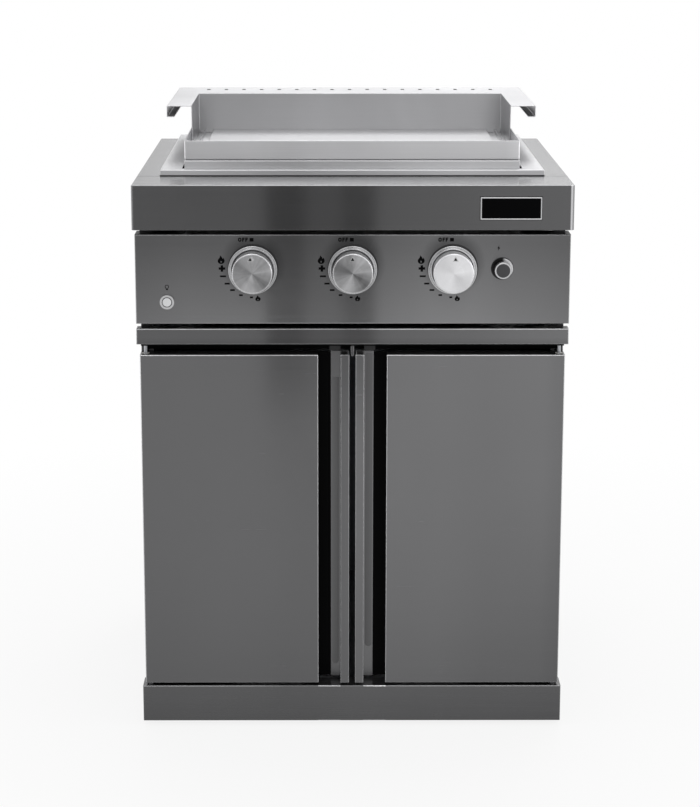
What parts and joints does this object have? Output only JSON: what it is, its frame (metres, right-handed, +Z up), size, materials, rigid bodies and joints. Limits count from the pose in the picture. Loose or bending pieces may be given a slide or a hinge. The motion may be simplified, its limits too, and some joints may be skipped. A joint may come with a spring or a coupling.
{
  "type": "outdoor gas griddle station",
  "caption": "Free-standing steel cabinet with a drop-in gas griddle, splash guard, control knobs, drip tray and hinged doors.",
  "frame": {"origin": "on the ground, under the middle of the whole object's box", "axes": "+Z up, -Y towards the user at the knobs, +X to the user's right"},
  "size_m": [0.7, 0.627, 1.0075],
  "materials": {
    "dark_steel": "dark brushed steel, fine horizontal grain",
    "dark_top": "dark brushed steel, fine grain along the counter",
    "black_steel": "matt black powder coat",
    "carcass_steel": "satin black powder coat",
    "stainless": "brushed stainless, fine grain",
    "plate_steel": "satin ground cooking surface",
    "knob_steel": "turned, ring-brushed face",
    "bezel_steel": "polished satin ring",
    "galvanised": "galvanised sheet",
    "brass": "cast brass, lightly tarnished",
    "zinc": "zinc plated",
    "black_plastic": "moulded, fine texture",
    "grey_plastic": "moulded, satin",
    "white_plastic": "moulded, satin",
    "nylon": "turned nylon",
    "ceramic": "glazed ceramic with a steel rod",
    "badge_black": "gloss black, blank"
  },
  "bodies": {
    "cabinet": {"countertop": "dark_top", "cabinet_side_left": "dark_steel", "cabinet_side_right": "dark_steel", "cabinet_floor": "galvanised", "cabinet_back": "galvanised", "back_panel_screws": "zinc", "plinth": "dark_steel", "levelling_feet": "black_plastic", "front_rail": "black_steel", "door_catches": "black_plastic", "door_stop": "dark_steel", "hinge_pins": "zinc", "tray_runner_left": "galvanised", "tray_runner_right": "galvanised", "control_panel": "dark_steel", "knob_bezels": "bezel_steel", "button_housings": "bezel_steel", "badge_rim": "bezel_steel", "badge_plate": "badge_black", "valve_bodies": "brass", "gas_manifold": "galvanised", "manifold_brackets": "galvanised", "gas_inlet_pipe": "galvanised", "griddle_frame": "stainless", "burner_box": "stainless", "burner_left": "stainless", "burner_middle": "stainless", "burner_right": "stainless", "igniter_electrodes": "ceramic", "ignition_module": "black_plastic"},
    "drip_tray": {"drip_tray_front": "dark_steel", "drip_tray_pan": "galvanised"},
    "griddle": {"griddle_pan": "stainless", "cooking_plate": "plate_steel"},
    "splash_guard": {"splash_guard": "stainless"},
    "ignitor_button": {"ignitor_button": "grey_plastic"},
    "light_switch_button": {"light_switch_button": "white_plastic"},
    "door_left": {"door_left_skin": "dark_steel", "door_left_liner": "black_steel", "door_left_grip": "dark_steel", "door_left_bushes": "nylon"},
    "door_right": {"door_right_skin": "dark_steel", "door_right_liner": "black_steel", "door_right_grip": "dark_steel", "door_right_bushes": "nylon"},
    "valve_plug_left": {"valve_plug_left": "brass"},
    "knob_left": {"knob_left": "knob_steel", "valve_stem_left": "brass"},
    "valve_plug_middle": {"valve_plug_middle": "brass"},
    "knob_middle": {"knob_middle": "knob_steel", "valve_stem_middle": "brass"},
    "valve_plug_right": {"valve_plug_right": "brass"},
    "knob_right": {"knob_right": "knob_steel", "valve_stem_right": "brass"}
  },
  "joints": [
    {"name": "door_left_hinge", "type": "hinge", "parent": "cabinet", "child": "door_left", "pos_m": [-0.333, -0.2625, 0.355], "axis": [0, 0, -1], "range_deg": [0, 105]},
    {"name": "door_right_hinge", "type": "hinge", "parent": "cabinet", "child": "door_right", "pos_m": [0.333, -0.2625, 0.355], "axis": [0, 0, 1], "range_deg": [0, 105]},
    {"name": "drip_tray_slide", "type": "slide", "parent": "cabinet", "child": "drip_tray", "axis": [0, -1, 0], "range_m": [0, 0.4]},
    {"name": "griddle_lift", "type": "slide", "parent": "cabinet", "child": "griddle", "axis": [0, 0, 1], "range_m": [0, 0.15]},
    {"name": "splash_guard_lift", "type": "slide", "parent": "griddle", "child": "splash_guard", "axis": [0, 0, 1], "range_m": [0, 0.12]},
    {"name": "ignitor_button_push", "type": "slide", "parent": "cabinet", "child": "ignitor_button", "axis": [0, 1, 0], "range_m": [0, 0.004], "stiffness_N_per_m": 1500, "springref_m": -0.001},
    {"name": "light_switch_push", "type": "slide", "parent": "cabinet", "child": "light_switch_button", "axis": [0, 1, 0], "range_m": [0, 0.0015], "stiffness_N_per_m": 1500, "springref_m": -0.001},
    {"name": "valve_left_turn", "type": "hinge", "parent": "cabinet", "child": "valve_plug_left", "pos_m": [-0.159, -0.2565, 0.773], "axis": [0, -1, 0], "range_deg": [0, 180]},
    {"name": "knob_left_push", "type": "slide", "parent": "valve_plug_left", "child": "knob_left", "axis": [0, 1, 0], "range_m": [0, 0.003], "stiffness_N_per_m": 1500, "springref_m": -0.002},
    {"name": "valve_middle_turn", "type": "hinge", "parent": "cabinet", "child": "valve_plug_middle", "pos_m": [0, -0.2565, 0.773], "axis": [0, -1, 0], "range_deg": [0, 180]},
    {"name": "knob_middle_push", "type": "slide", "parent": "valve_plug_middle", "child": "knob_middle", "axis": [0, 1, 0], "range_m": [0, 0.003], "stiffness_N_per_m": 1500, "springref_m": -0.002},
    {"name": "valve_right_turn", "type": "hinge", "parent": "cabinet", "child": "valve_plug_right", "pos_m": [0.159, -0.2565, 0.773], "axis": [0, -1, 0], "range_deg": [0, 180]},
    {"name": "knob_right_push", "type": "slide", "parent": "valve_plug_right", "child": "knob_right", "axis": [0, 1, 0], "range_m": [0, 0.003], "stiffness_N_per_m": 1500, "springref_m": -0.002}
  ]
}
